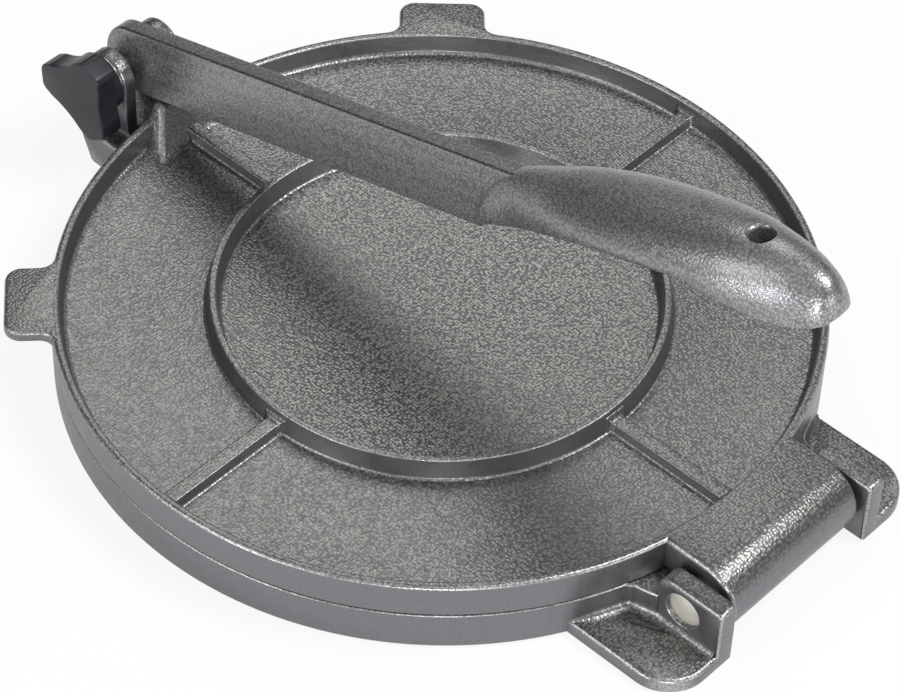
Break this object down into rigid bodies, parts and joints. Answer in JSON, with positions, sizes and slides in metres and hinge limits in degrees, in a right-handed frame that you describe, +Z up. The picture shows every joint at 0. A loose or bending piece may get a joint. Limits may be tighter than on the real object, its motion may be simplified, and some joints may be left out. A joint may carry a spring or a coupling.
{
  "type": "tortilla press",
  "caption": "Round hinged tortilla press in hammered grey cast metal, with a folding lever, a shaped grip and a black plastic clamp knob.",
  "frame": {"origin": "centre of the round plates, on the flat underside that the press stands on", "axes": "+Y points at the plate hinge, -Y at the lever's yoke, +X at the clamp knob, +Z up"},
  "size_m": [0.205, 0.2551, 0.1129],
  "materials": {
    "cast_body": "fine hammered grey coat on cast aluminium",
    "cast_lever": "fine speckled dark grey coat on cast aluminium",
    "steel": "plain bright steel",
    "black_plastic": "satin moulded black",
    "brass": "turned"
  },
  "bodies": {
    "base": {"base_plate": "cast_body", "hinge_pin": "steel", "pivot_bolt": "steel", "knob_washer": "steel"},
    "lid": {"top_plate": "cast_body"},
    "lever": {"lever": "cast_lever"},
    "knob": {"wing_knob": "black_plastic", "knob_insert": "brass"}
  },
  "joints": [
    {"name": "lever_pivot", "type": "hinge", "parent": "base", "child": "lever", "pos_m": [0, -0.1165, 0.03], "axis": [1, 0, 0], "range_deg": [0, 160]},
    {"name": "top_plate_hinge", "type": "hinge", "parent": "base", "child": "lid", "pos_m": [0, 0.112, 0.0124], "axis": [-1, 0, 0], "range_deg": [0, 110]},
    {"name": "knob_turn", "type": "hinge", "parent": "base", "child": "knob", "pos_m": [0, -0.1165, 0.03], "axis": [1, 0, 0], "range_deg": [0, 360]}
  ],
  "couplings": [
    {"joint": "top_plate_hinge", "follows": "lever_pivot", "ratio": 0.05}
  ]
}
